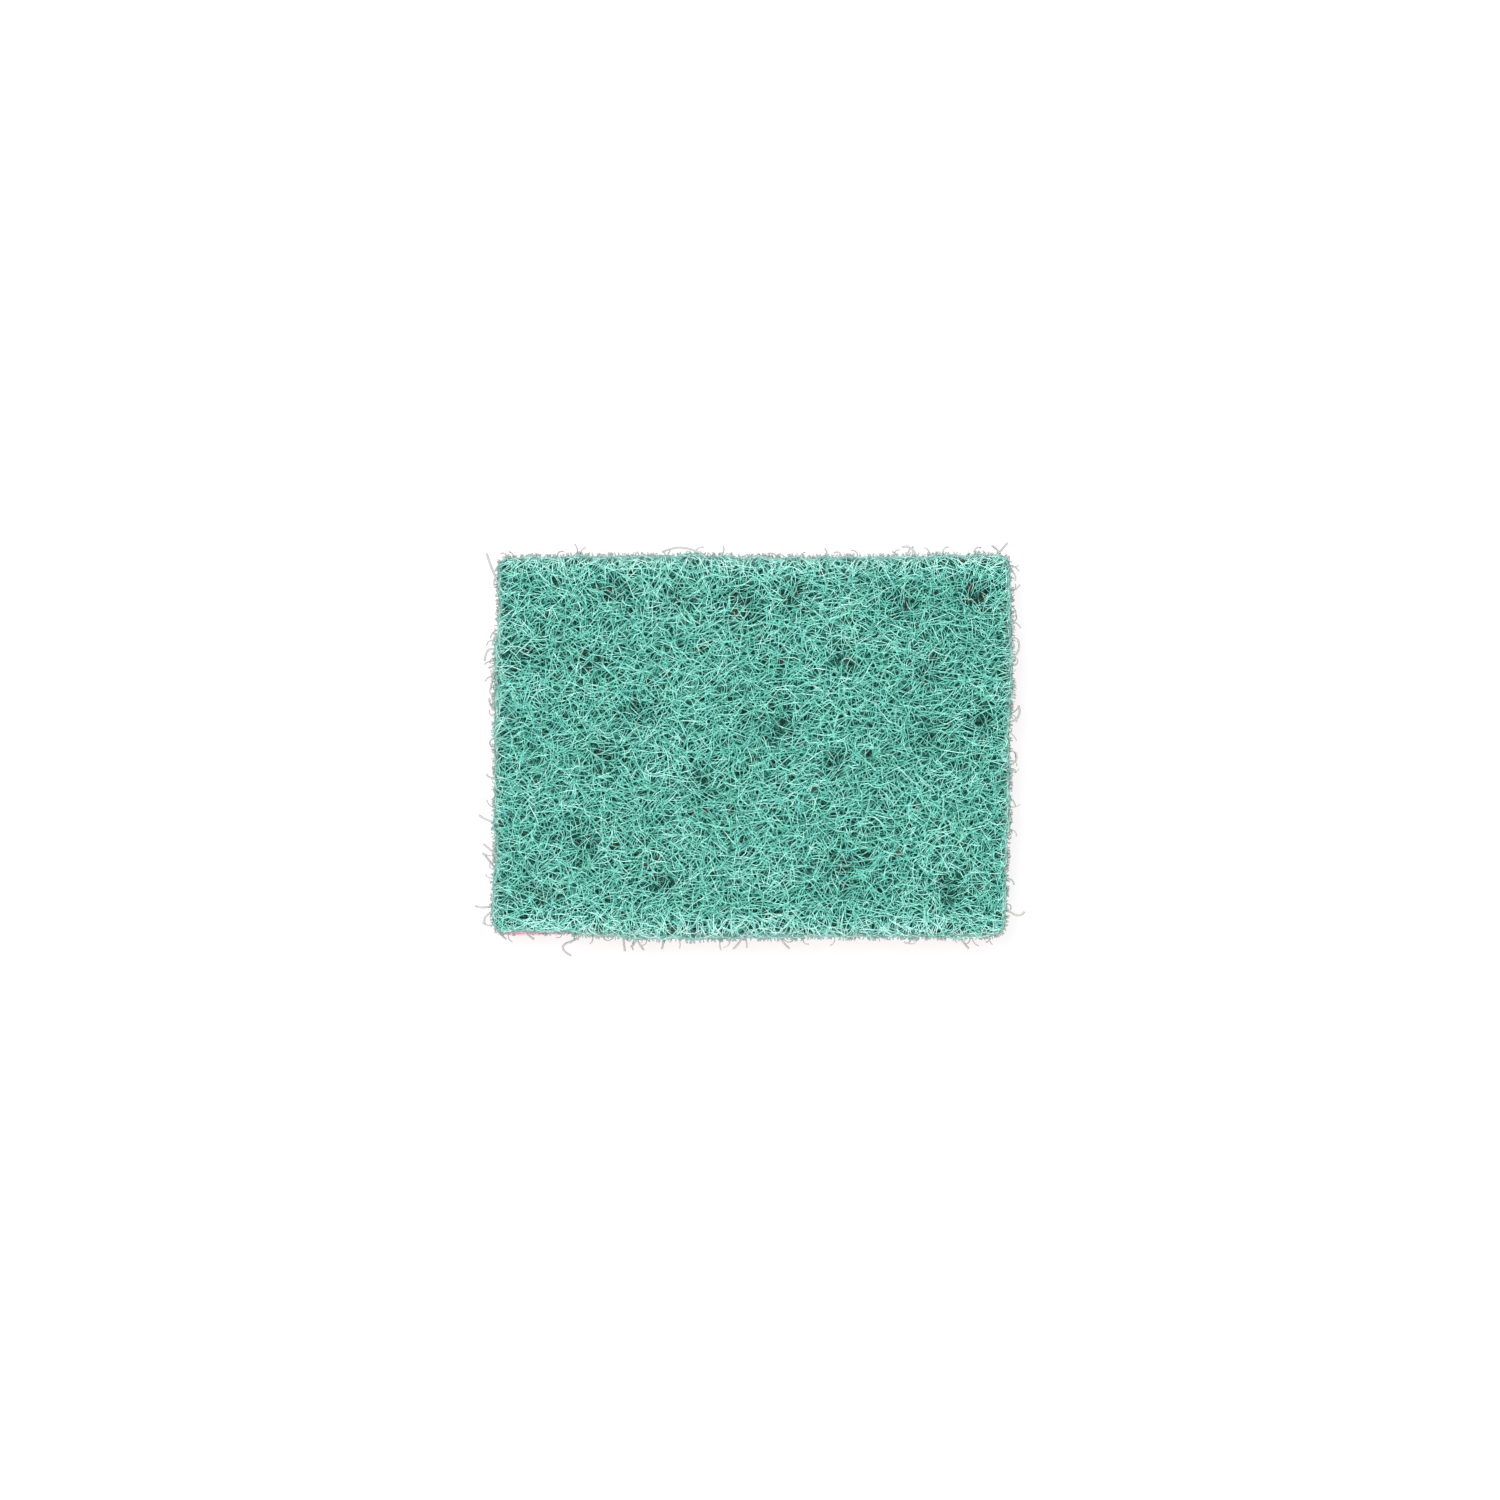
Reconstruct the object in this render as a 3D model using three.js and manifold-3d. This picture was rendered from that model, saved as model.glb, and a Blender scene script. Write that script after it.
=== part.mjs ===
// Dish sponge: a brick of open-celled foam with a non-woven scouring pad bonded flat to its upper face.
// Both layers are cut together from one laminated sheet, so they share an outline.
// Millimetres, +Z up. The origin is the middle of the foam's underside, the face that the sponge rests on.
import * as THREE from "three";
import { ImprovedNoise } from "three/addons/math/ImprovedNoise.js";
import { mergeVertices } from "three/addons/utils/BufferGeometryUtils.js";
import Module from "manifold-3d";

const wasm = await Module();
wasm.setup();

// Outline that the saw leaves, shared by both layers
const spongeLength = 95; // along X
const spongeWidth = 70; // along Y
const endLean = 0.8; // the cut is out of square: the front of each end stands this far left of its back

// Foam brick
const foamThickness = 24;
const foamCornerRadius = 1.2;
const foamLip = 0.4; // how far the foam shows past the pad along the front
const cellRadius = 0.9; // of an average large cell that the saw opened
const cellRadiusSpread = 0.45;
const cellSpacing = 10.5; // from one opened cell to the next on the four sides
const cellSpacingUnder = 14.7; // likewise on the underside
const cellDepth = [0.1, 0.5]; // of its centre under the surface, least and most, as a share of its radius
const restFaceRadius = 9; // round the middle of the underside, where no cell is opened

// Scouring pad
const padThickness = 6; // bond line to the mean height of its face
const padCornerRadius = 2.2;
const padEdgeRound = 0.9; // how far the face falls away at the cut edge
const padEdgeBand = 2.6; // width of the band in which it falls away
const reliefHeight = 0.45; // of the swells in the face
const reliefPitch = 11; // from one swell to the next
const edgeWander = 0.35; // of the cut edge, in and out
const edgeWanderPitch = 6; // from one bulge of the cut edge to the next
const meshPitch = 4.4; // of the pad's surface grid

// Thin spots, where the web of fibre is open and the face sinks: place as a share of the half length and
// half width, and radius
const thinSpotDepth = 1.5;
const thinSpots = [
  { x: -0.03, y: 0.75, radius: 3.6 },
  { x: 0.16, y: 0.79, radius: 2.6 },
  { x: -0.3, y: 0.78, radius: 2.4 },
  { x: -0.53, y: 0.8, radius: 2.8 },
  { x: -0.9, y: 0.46, radius: 2.9 },
  { x: -0.61, y: 0.44, radius: 2.2 },
  { x: -0.45, y: 0.2, radius: 2.9 },
  { x: 0.58, y: 0.76, radius: 2.6 },
  { x: 0.86, y: 0.8, radius: 2.4 },
  { x: 0.35, y: 0.47, radius: 2.6 },
  { x: 0.67, y: 0.38, radius: 2.4 },
  { x: 0.11, y: 0.1, radius: 3.1 },
  { x: 0.71, y: 0.05, radius: 3.2 },
  { x: 0.89, y: 0.12, radius: 2.5 },
  { x: -0.57, y: -0.06, radius: 2.8 },
  { x: -0.2, y: -0.17, radius: 2.3 },
  { x: -0.66, y: -0.51, radius: 3.1 },
  { x: -0.35, y: -0.73, radius: 2.7 },
  { x: 0.36, y: -0.64, radius: 3 },
  { x: 0.76, y: -0.77, radius: 3.1 },
  { x: -0.8, y: -0.78, radius: 2.5 },
  { x: 0.33, y: -0.09, radius: 2.3 },
];

// Tangle of crimped fibre on the pad's face: each strand bows up out of the web and dives back into it
const strandRadius = 0.36;
const strandRise = 0.38; // of a strand's centre line above the face, at the top of its bow
const strandDive = 0.6; // of its two ends below the face
const curlRadius = 3.1; // of an average strand, seen from above
const curlRadiusSpread = 1.3;
const curlSweep = [0.7 * Math.PI, 1.6 * Math.PI]; // turn of a strand from end to end, least and most
const strandSpacing = 8.6;

// Loops of fibre that the saw left standing out of the cut edge
const loopRadius = 1.25;
const loopSpacing = 12;
const loopReach = [0.57, 1.14]; // past the cut edge, least and most
const loopTilt = 0.6; // how far one end of a loop may lie above or below the other's level
const loopHeight = [0.3, 0.7]; // above the bond line, least and most, as a share of the pad

// Longest stray fibres: the side that each leaves, its place along that side as a share of the half
// side, its height as a share of the pad, how far it stands out and how far it drifts sideways
const strayRadius = 0.14;
const strayRoot = 1.6; // buried in the pad
const strays = [
  { side: "left", along: 0.96, height: 0.8, reach: 2.6, drift: 3.4 },
  { side: "left", along: 0.5, height: 0.6, reach: 2.2, drift: -1.4 },
  { side: "left", along: -0.38, height: 0.7, reach: 3.3, drift: -2.2 },
  { side: "left", along: -0.86, height: 0.5, reach: 3.4, drift: 0.5 },
  { side: "front", along: -0.74, height: 0.6, reach: 2.6, drift: 3 },
  { side: "front", along: 0.8, height: 0.5, reach: 2.5, drift: 2 },
  { side: "right", along: -0.86, height: 0.6, reach: 2.2, drift: 1.9 },
  { side: "back", along: -0.32, height: 0.8, reach: 1.6, drift: -2.6 },
  { side: "back", along: 0.6, height: 0.8, reach: 1.5, drift: -0.7 },
];

const ripple = new ImprovedNoise();
const fibreSides = 3; // facets round a fibre
const fibreSteps = 5; // facets along a fibre
const arcSteps = 4; // facets of a rounded corner
const weldDistance = 0.002; // points closer together than this are one

const foamWidth = spongeWidth + foamLip;
const padTop = foamThickness + padThickness;

const foamRed = new THREE.MeshStandardMaterial({
  color: 0xe8637c,
  roughness: 0.95,
  metalness: 0,
  flatShading: true,
});
const padGreen = new THREE.MeshStandardMaterial({ color: 0x58b9a4, roughness: 0.8, metalness: 0 });

// Repeatable scatter: a function that gives the next number from 0 to 1.
function scatterFrom(seed) {
  let state = seed;
  return () => {
    state = (state * 48271) % 2147483647;
    return state / 2147483647;
  };
}

// A number between a least and a most, for a share from 0 to 1.
function between([least, most], share) {
  return least + (most - least) * share;
}

// A number from -1 to 1 that swells smoothly over the plan, at the given pitch.
function swell(x, y, layer, pitch) {
  return ripple.noise(x / pitch, y / pitch, layer);
}

// The saw's out-of-square cut: a point moves left in proportion to how far forward it lies.
function leaned(x, y) {
  return x + (endLean * y) / spongeWidth;
}

function solidFrom(geometry) {
  geometry.deleteAttribute("normal");
  geometry.deleteAttribute("uv");
  const merged = mergeVertices(geometry, weldDistance);
  return new wasm.Manifold(
    new wasm.Mesh({
      numProp: 3,
      vertProperties: merged.getAttribute("position").array,
      triVerts: new Uint32Array(merged.index.array),
      tolerance: weldDistance,
    }),
  );
}

function meshFrom(name, solid, material) {
  const made = solid.getMesh();
  const geometry = new THREE.BufferGeometry();
  geometry.setAttribute("position", new THREE.BufferAttribute(made.vertProperties, made.numProp));
  geometry.setIndex(new THREE.BufferAttribute(made.triVerts, 1));
  geometry.computeVertexNormals();
  const mesh = new THREE.Mesh(geometry, material);
  mesh.name = name;
  return mesh;
}

// A closed tube of fibre along a smooth line through the given points.
function fibre(points, radius) {
  const rim = [];
  for (let k = 0; k < fibreSides; k += 1) {
    const turn = (2 * Math.PI * k) / fibreSides;
    rim.push(new THREE.Vector2(radius * Math.cos(turn), radius * Math.sin(turn)));
  }
  const run = { extrudePath: new THREE.CatmullRomCurve3(points), steps: fibreSteps, bevelEnabled: false };
  return solidFrom(new THREE.ExtrudeGeometry(new THREE.Shape(rim), run));
}

// How far outside the pad's rounded outline a plan point lies; negative inside.
function padEdgeDistance(x, y) {
  const dx = Math.abs(x) - (spongeLength / 2 - padCornerRadius);
  const dy = Math.abs(y) - (spongeWidth / 2 - padCornerRadius);
  const outside = Math.hypot(Math.max(dx, 0), Math.max(dy, 0));
  return outside + Math.min(Math.max(dx, dy), 0) - padCornerRadius;
}

// Height of the pad's face: swells, thin spots sunk into it, and a fall towards the cut edge.
function padFace(x, y) {
  let height = padTop + reliefHeight * swell(x, y, 0.5, reliefPitch);
  for (const spot of thinSpots) {
    const away = Math.hypot(x - (spot.x * spongeLength) / 2, y - (spot.y * spongeWidth) / 2);
    height -= thinSpotDepth * Math.exp(-((away / spot.radius) ** 2));
  }
  const inBand = THREE.MathUtils.clamp(1 + padEdgeDistance(x, y) / padEdgeBand, 0, 1);
  return height - padEdgeRound * inBand * inBand;
}

// A point of a square plan moved so that the plan's corners become round: the square corner patch is
// mapped onto a quarter disc.
function roundCorner(x, y, halfLength, halfWidth, radius) {
  const u = (Math.abs(x) - halfLength) / radius + 1;
  const v = (Math.abs(y) - halfWidth) / radius + 1;
  if (u <= 0 || v <= 0) return [x, y];
  const discX = halfLength - radius + radius * u * Math.sqrt(1 - (v * v) / 2);
  const discY = halfWidth - radius + radius * v * Math.sqrt(1 - (u * u) / 2);
  return [Math.sign(x) * discX, Math.sign(y) * discY];
}

// The way out of the pad's outline from a plan point near it.
function padOutward(x, y) {
  const dx = Math.max(Math.abs(x) - (spongeLength / 2 - padCornerRadius), 0);
  const dy = Math.max(Math.abs(y) - (spongeWidth / 2 - padCornerRadius), 0);
  return new THREE.Vector2(Math.sign(x) * dx, Math.sign(y) * dy).normalize();
}

// Line i of the n + 1 that divide a side of the pad: the two outer cells are the edge band, and those
// between are even.
function gridLine(i, n, size) {
  if (i === 0 || i === n) return (i / n - 0.5) * size;
  return (size - 2 * padEdgeBand) * ((i - 1) / (n - 2) - 0.5);
}

// The web of the pad: a box with a fine grid, its face raised to padFace and its cut edge wandering.
function padWeb() {
  const cellsX = Math.round(spongeLength / meshPitch);
  const cellsY = Math.round(spongeWidth / meshPitch);
  const box = new THREE.BoxGeometry(1, 1, 1, cellsX, cellsY, 2);
  const at = box.getAttribute("position");
  for (let k = 0; k < at.count; k += 1) {
    const i = Math.round((at.getX(k) + 0.5) * cellsX);
    const j = Math.round((at.getY(k) + 0.5) * cellsY);
    const share = at.getZ(k) + 0.5; // of the way from the bond line to the face
    const plan = [gridLine(i, cellsX, spongeLength), gridLine(j, cellsY, spongeWidth)];
    const [x, y] = roundCorner(...plan, spongeLength / 2, spongeWidth / 2, padCornerRadius);
    const cut = i === 0 || i === cellsX || j === 0 || j === cellsY;
    const wander = cut ? share * edgeWander * swell(x, y, share, edgeWanderPitch) : 0;
    const out = padOutward(x, y).multiplyScalar(wander);
    const height = foamThickness + share * (padFace(x, y) - foamThickness);
    at.setXYZ(k, leaned(x, y) + out.x, y + out.y, height);
  }
  return solidFrom(box);
}

// A jittered lattice of places over a rectangle, one near the middle of each cell of the given pitch.
function places(length, width, pitch, draw) {
  const across = Math.max(1, Math.round(length / pitch));
  const along = Math.max(1, Math.round(width / pitch));
  const found = [];
  for (let i = 0; i < across; i += 1) {
    for (let j = 0; j < along; j += 1) {
      const u = (i + 0.5 + 0.7 * (draw() - 0.5)) / across - 0.5;
      const v = (j + 0.5 + 0.7 * (draw() - 0.5)) / along - 0.5;
      found.push([u * length, v * width]);
    }
  }
  return found;
}

// Curls of fibre over the pad's face, each an arc seen from above.
function faceStrands() {
  const draw = scatterFrom(11);
  const halfX = spongeLength / 2 - 2 * strandRadius;
  const halfY = spongeWidth / 2 - 2 * strandRadius;
  const strands = [];
  for (const [x, y] of places(2 * (halfX - curlRadius), 2 * (halfY - curlRadius), strandSpacing, draw)) {
    const radius = curlRadius + curlRadiusSpread * (draw() - 0.5);
    const start = 2 * Math.PI * draw();
    const sweep = between(curlSweep, draw());
    const points = [];
    for (let k = 0; k <= fibreSteps; k += 1) {
      const share = k / fibreSteps;
      const turn = start + sweep * share;
      const px = THREE.MathUtils.clamp(x + radius * Math.cos(turn), -halfX, halfX);
      const py = THREE.MathUtils.clamp(y + radius * Math.sin(turn), -halfY, halfY);
      const lift = (strandRise + strandDive) * Math.sin(Math.PI * share) ** 0.6 - strandDive;
      points.push(new THREE.Vector3(leaned(px, py), py, padFace(px, py) + lift));
    }
    strands.push(fibre(points, strandRadius));
  }
  return strands;
}

// A plan point on one side of the pad, and the directions out of that side and along it.
function onSide(side, along) {
  const lengthwise = side === "front" || side === "back";
  const sign = side === "front" || side === "left" ? -1 : 1;
  const out = lengthwise ? new THREE.Vector3(0, sign, 0) : new THREE.Vector3(sign, 0, 0);
  const run = lengthwise ? new THREE.Vector3(1, 0, 0) : new THREE.Vector3(0, 1, 0);
  const halfOut = (lengthwise ? spongeWidth : spongeLength) / 2;
  const halfRun = (lengthwise ? spongeLength : spongeWidth) / 2 - padCornerRadius;
  const at = out.clone().multiplyScalar(halfOut).addScaledVector(run, along * halfRun);
  return { at, out, run };
}

// A fibre that leaves a side of the pad: its points are given as how far out, sideways and up they lie.
function sideFibre(side, along, height, offsets) {
  const { at, out, run } = onSide(side, along);
  const points = offsets.map(([outward, sideways, upward]) => {
    const point = at.clone().addScaledVector(out, outward).addScaledVector(run, sideways);
    return new THREE.Vector3(leaned(point.x, point.y), point.y, foamThickness + height + upward);
  });
  return fibre(points, strayRadius);
}

// Small loops round the cut edge, their ends buried in the web.
function edgeLoops() {
  const draw = scatterFrom(23);
  const loops = [];
  for (const side of ["front", "back", "left", "right"]) {
    const sideLength = side === "front" || side === "back" ? spongeLength : spongeWidth;
    const count = Math.round(sideLength / loopSpacing);
    for (let k = 0; k < count; k += 1) {
      const along = (2 * (k + 0.25 + 0.5 * draw())) / count - 1;
      const height = padThickness * between(loopHeight, draw());
      const tilt = between([-loopTilt, loopTilt], draw());
      const reach = between(loopReach, draw());
      const bury = loopRadius + edgeWander;
      const offsets = [
        [-bury, -loopRadius, -tilt],
        [0.5 * reach, -0.9 * loopRadius, -tilt],
        [reach, 0, 0],
        [0.5 * reach, 0.9 * loopRadius, tilt],
        [-bury, loopRadius, tilt],
      ];
      loops.push(sideFibre(side, along, height, offsets));
    }
  }
  return loops;
}

function strayFibres() {
  return strays.map(({ side, along, height, reach, drift }) => {
    const offsets = [
      [-strayRoot, -0.2 * drift, 0],
      [0.25 * reach, 0, 0],
      [0.7 * reach, 0.3 * drift, 0.1],
      [reach, drift, 0],
    ];
    return sideFibre(side, along, height * padThickness, offsets);
  });
}

function scouringPad() {
  const solid = wasm.Manifold.union([padWeb(), ...faceStrands(), ...edgeLoops(), ...strayFibres()]);
  return meshFrom("scouring_pad", solid, padGreen);
}

// The foam's plan: a rectangle with small round corners, reaching past the pad at the front.
function foamOutline() {
  const back = spongeWidth / 2;
  const front = back - foamWidth;
  const half = spongeLength / 2;
  const corners = [
    [half - foamCornerRadius, back - foamCornerRadius, 0],
    [-half + foamCornerRadius, back - foamCornerRadius, 1],
    [-half + foamCornerRadius, front + foamCornerRadius, 2],
    [half - foamCornerRadius, front + foamCornerRadius, 3],
  ];
  const points = [];
  for (const [x, y, quarter] of corners) {
    for (let k = 0; k <= arcSteps; k += 1) {
      const turn = (Math.PI / 2) * (quarter + k / arcSteps);
      const py = y + foamCornerRadius * Math.sin(turn);
      points.push(new THREE.Vector2(leaned(x + foamCornerRadius * Math.cos(turn), py), py));
    }
  }
  return new THREE.Shape(points);
}

// Cells that the saw opened, on the four sides and the underside. Each is a faceted ball whose centre
// lies just under the surface. Those on the underside are pushed out from its middle, which stays flat.
function openedCells() {
  const draw = scatterFrom(37);
  const cells = [];
  const open = (x, y, z, inward) => {
    const radius = between([cellRadius - cellRadiusSpread, cellRadius + cellRadiusSpread], draw());
    const depth = radius * between(cellDepth, draw());
    const ball = new THREE.IcosahedronGeometry(radius, 0);
    ball.rotateX(Math.PI * draw()).rotateZ(Math.PI * draw());
    const centre = new THREE.Vector3(leaned(x, y), y, z).addScaledVector(inward, depth);
    ball.translate(centre.x, centre.y, centre.z);
    cells.push(solidFrom(ball));
  };
  const alongX = new THREE.Vector3(1, 0, 0);
  const alongY = new THREE.Vector3(0, 1, 0);
  const upward = new THREE.Vector3(0, 0, 1);
  const largest = cellRadius + cellRadiusSpread;
  const back = spongeWidth / 2;
  const front = back - foamWidth;
  const end = spongeLength / 2;
  const middle = foamThickness / 2;
  const high = foamThickness - 2 * largest;
  for (const [x, z] of places(spongeLength - 2 * largest, high, cellSpacing, draw)) {
    open(x, front, z + middle, alongY);
    open(-x, back, z + middle, alongY.clone().negate());
  }
  for (const [y, z] of places(spongeWidth - 2 * largest, high, cellSpacing, draw)) {
    open(-end, y, z + middle, alongX);
    open(end, -y, z + middle, alongX.clone().negate());
  }
  const under = [spongeLength - 4 * largest, spongeWidth - 4 * largest];
  for (const [x, y] of places(...under, cellSpacingUnder, draw)) {
    const pushed = Math.hypot(x, y, restFaceRadius + largest) / Math.hypot(x, y);
    open(pushed * x, pushed * y, 0, upward);
  }
  return cells;
}

function foamBrick() {
  const brick = new THREE.ExtrudeGeometry(foamOutline(), { depth: foamThickness, bevelEnabled: false });
  const solid = solidFrom(brick).subtract(wasm.Manifold.union(openedCells()));
  return meshFrom("foam_brick", solid, foamRed);
}

const sponge = new THREE.Group();
sponge.add(foamBrick(), scouringPad());

export default sponge;
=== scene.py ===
import math

import bpy
import numpy as np
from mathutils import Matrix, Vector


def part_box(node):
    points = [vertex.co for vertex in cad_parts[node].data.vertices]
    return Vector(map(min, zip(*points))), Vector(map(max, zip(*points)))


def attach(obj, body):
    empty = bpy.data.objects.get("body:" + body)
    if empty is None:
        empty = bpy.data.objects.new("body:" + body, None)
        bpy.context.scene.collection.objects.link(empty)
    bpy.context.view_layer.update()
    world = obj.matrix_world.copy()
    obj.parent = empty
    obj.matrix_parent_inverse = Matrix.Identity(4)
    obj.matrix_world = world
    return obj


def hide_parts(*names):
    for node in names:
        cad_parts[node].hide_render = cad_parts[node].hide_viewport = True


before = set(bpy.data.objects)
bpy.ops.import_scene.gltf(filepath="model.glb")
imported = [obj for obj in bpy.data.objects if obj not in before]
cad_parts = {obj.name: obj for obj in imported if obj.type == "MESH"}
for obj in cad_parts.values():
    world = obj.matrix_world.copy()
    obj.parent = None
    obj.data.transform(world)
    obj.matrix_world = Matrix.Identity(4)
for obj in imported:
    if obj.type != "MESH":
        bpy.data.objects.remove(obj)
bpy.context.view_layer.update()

# Foam brick: the soft lower layer, cut by saw from a block of pink-red polyurethane foam. Its faces are
# flat and full of opened cells, and its edges are barely broken. The pad is bonded to its upper face.

MM = 0.001
LEAN = 0.8 * MM  # the cut is out of square: the front of each end stands this far left of its back

foam_low, foam_high = (np.array(corner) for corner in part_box("foam_brick"))
half_length = (foam_high[0] - foam_low[0] - LEAN) / 2
half_width = foam_high[1]
foam_top = foam_high[2]

FOAM_PITCH = 0.56 * MM  # of the grid on its faces
FOAM_EDGES = np.array([1.2, 1.2, 0.4]) * MM  # radii of its upright corners and of its broken edges
FOAM_WAVE = 0.18 * MM  # the saw's wander over a face
FOAM_INSIDE = 0.05 * MM  # its top lies this far under the bond line
UNCUT_BAND = 0.6 * MM  # under the bond line, left without opened cells
WAVE_LENGTH = 16 * MM
# Opened cells: spacing, least and most radius, and the share of places that hold one
SMALL_CELLS = (1.5 * MM, 0.35 * MM, 0.8 * MM, 0.9)
LARGE_CELLS = (4.6 * MM, 0.8 * MM, 1.7 * MM, 0.5)
DEEPEST_CELL = 1.7 * MM
PORE_SHADE_DEPTH = 1.2 * MM  # depth at which a cell's painted shade is darkest


def leaned(points):
    """The points with x moved in proportion to y, as the out-of-square cut leaves them."""
    moved = points.copy()
    moved[:, 0] += LEAN * points[:, 1] / (2 * half_width)
    return moved


def block(low, high, pitch, radii, open_top):
    """The skin of a block as welded points, their outward normals, quads and one hidden many-sided cap.

    A ring of points goes round the outline and is carried up the sides, and a plane grid closes the end
    that shows. A point p of the square block becomes q + r * m, where q is p held the three radii r
    inside the block and m is the unit of (p - q) / r, so that edges and corners are parts of ellipsoids.
    """
    lines = [
        np.linspace(low[k], high[k], max(3, round((high[k] - low[k]) / pitch)) + 1)
        for k in range(3)
    ]
    x, y, z = lines
    ring = np.concatenate([
        np.stack([x[:-1], np.full(len(x) - 1, y[0])], axis=1),
        np.stack([np.full(len(y) - 1, x[-1]), y[:-1]], axis=1),
        np.stack([x[:0:-1], np.full(len(x) - 1, y[-1])], axis=1),
        np.stack([np.full(len(y) - 1, x[0]), y[:0:-1]], axis=1),
    ])
    round_count = len(ring)
    sides = np.concatenate([
        np.tile(ring, (len(z), 1)),
        np.repeat(z, round_count)[:, None],
    ], axis=1)
    u = np.arange(round_count)
    v = np.arange(len(z) - 1)[:, None] * round_count
    after = (u + 1) % round_count
    side_quads = np.stack(
        [v + u, v + after, v + round_count + after, v + round_count + u], axis=-1
    ).reshape(-1, 4)
    level = z[-1] if open_top else z[0]
    grid_x, grid_y = np.meshgrid(x, y, indexing="ij")
    cap = np.stack([grid_x, grid_y, np.full(grid_x.shape, level)], axis=-1).reshape(-1, 3)
    corner = (np.arange(len(x) - 1)[:, None] * len(y) + np.arange(len(y) - 1)).ravel()
    cap_quads = np.stack([corner, corner + len(y), corner + len(y) + 1, corner + 1], axis=1)
    if not open_top:
        cap_quads = cap_quads[:, ::-1]
    square = np.concatenate([sides, cap])
    quads = np.concatenate([side_quads, cap_quads + len(sides)])
    _, first, weld = np.unique(
        np.round(square / (0.01 * MM)), axis=0, return_index=True, return_inverse=True
    )
    weld = weld.ravel()
    square = square[first]
    hidden = weld[u] if open_top else weld[u + (len(z) - 1) * round_count]
    if open_top:
        hidden = hidden[::-1]
    held = np.clip(square, np.array(low) + radii, np.array(high) - radii)
    ball = (square - held) / radii
    ball /= np.linalg.norm(ball, axis=1, keepdims=True)
    normals = ball / radii
    normals /= np.linalg.norm(normals, axis=1, keepdims=True)
    return held + radii * ball, normals, weld[quads], hidden


def mesh_piece(name, points, quads, cap=(), triangles=(), marks=None):
    """A smooth mesh object from arrays: points, quads, one cap of many sides, triangles, and a
    dictionary of one number per point, each stored as an attribute."""
    mesh = bpy.data.meshes.new(name)
    sizes = [4] * len(quads) + ([len(cap)] if len(cap) else []) + [3] * len(triangles)
    corners = np.concatenate([np.ravel(quads), np.ravel(cap), np.ravel(triangles)]).astype(np.int32)
    mesh.vertices.add(len(points))
    mesh.vertices.foreach_set("co", np.ravel(points).astype(np.float32))
    mesh.loops.add(len(corners))
    mesh.loops.foreach_set("vertex_index", corners)
    mesh.polygons.add(len(sizes))
    mesh.polygons.foreach_set("loop_start", (np.cumsum(sizes) - sizes).astype(np.int32))
    mesh.update(calc_edges=True)
    mesh.validate()
    mesh.shade_smooth()
    for mark, numbers in (marks or {}).items():
        layer = mesh.attributes.new(mark, "FLOAT", "POINT")
        layer.data.foreach_set("value", np.ravel(numbers).astype(np.float32))
    piece = bpy.data.objects.new(name, mesh)
    bpy.context.scene.collection.objects.link(piece)
    return piece


def hashed(cells, seed):
    """Four numbers from 0 to 1 for each row of whole numbers, always the same for the same row: the
    row is mixed by multiplying, shifting and exclusive or."""
    spread = np.array([73856093, 19349663, 83492791])
    mixed = (cells.astype(np.int64) * spread).sum(axis=1) + seed * 668265263
    drawn = []
    for _ in range(4):
        mixed = (mixed ^ (mixed >> 15)) * 2246822519 & 0xFFFFFFFF
        mixed = (mixed ^ (mixed >> 13)) * 3266489917 & 0xFFFFFFFF
        drawn.append((mixed & 0xFFFFFF) / 0xFFFFFF)
    return drawn


def pore_depth(points, normals, pitch, least, most, share, seed):
    """How far each point sinks along its normal into round cells scattered one to a cube of space.

    For a cell of radius r at c, with w = p - c and b = w . n, a point inside it sinks b + sqrt(b^2 -
    |w|^2 + r^2), which puts it on the far wall of the cell. The deepest of the cells near it counts.
    """
    home = np.floor(points / pitch)
    depth = np.zeros(len(points))
    for step in np.ndindex(3, 3, 3):
        cell = home + np.array(step) - 1
        draw = hashed(cell, seed)
        centre = (cell + np.stack(draw[:3], axis=1)) * pitch
        radius = least + (most - least) * np.modf(draw[3] * 97)[0]
        away = points - centre
        along = (away * normals).sum(axis=1)
        inside = along**2 - (away**2).sum(axis=1) + radius**2
        hit = (draw[3] < share) & ((away**2).sum(axis=1) < radius**2)
        depth = np.maximum(depth, np.where(hit, along + np.sqrt(np.maximum(inside, 0)), 0))
    return depth


def waves(x, y, pitch, seed, count=9):
    """A smooth field from about -1 to 1: the mean of plane waves whose lengths are near the pitch and
    whose directions and phases are drawn."""
    rng = np.random.default_rng(seed)
    turn = rng.uniform(0, 2 * math.pi, count)
    length = pitch * rng.uniform(0.7, 1.6, count)
    phase = rng.uniform(0, 2 * math.pi, count)
    field = np.zeros(np.shape(x))
    for k in range(count):
        field += np.sin(2 * math.pi * (x * math.cos(turn[k]) + y * math.sin(turn[k])) / length[k] + phase[k])
    return field * 1.6 / count


foam_points, foam_normals, foam_quads, foam_cap = block(
    (-half_length, foam_low[1], 0),
    (half_length, half_width, foam_top - FOAM_INSIDE),
    FOAM_PITCH,
    FOAM_EDGES,
    open_top=False,
)
shown = foam_points[:, 2] < foam_top - UNCUT_BAND
small = pore_depth(foam_points, foam_normals, *SMALL_CELLS, seed=5)
large = pore_depth(foam_points, foam_normals, *LARGE_CELLS, seed=8)
pores = np.minimum(np.maximum(small, large), DEEPEST_CELL) * shown
x, y, z = foam_points.T
ripple = FOAM_WAVE * waves(x + z, y - z, WAVE_LENGTH, 3)
resting = foam_points[:, 2] < FOAM_EDGES[2]
sink = pores + np.where(resting, 0, FOAM_WAVE + ripple) * shown
foam = mesh_piece(
    "foam",
    leaned(foam_points - foam_normals * sink[:, None]),
    foam_quads,
    foam_cap,
    marks={"pore_shade": pores / PORE_SHADE_DEPTH},
)


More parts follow.
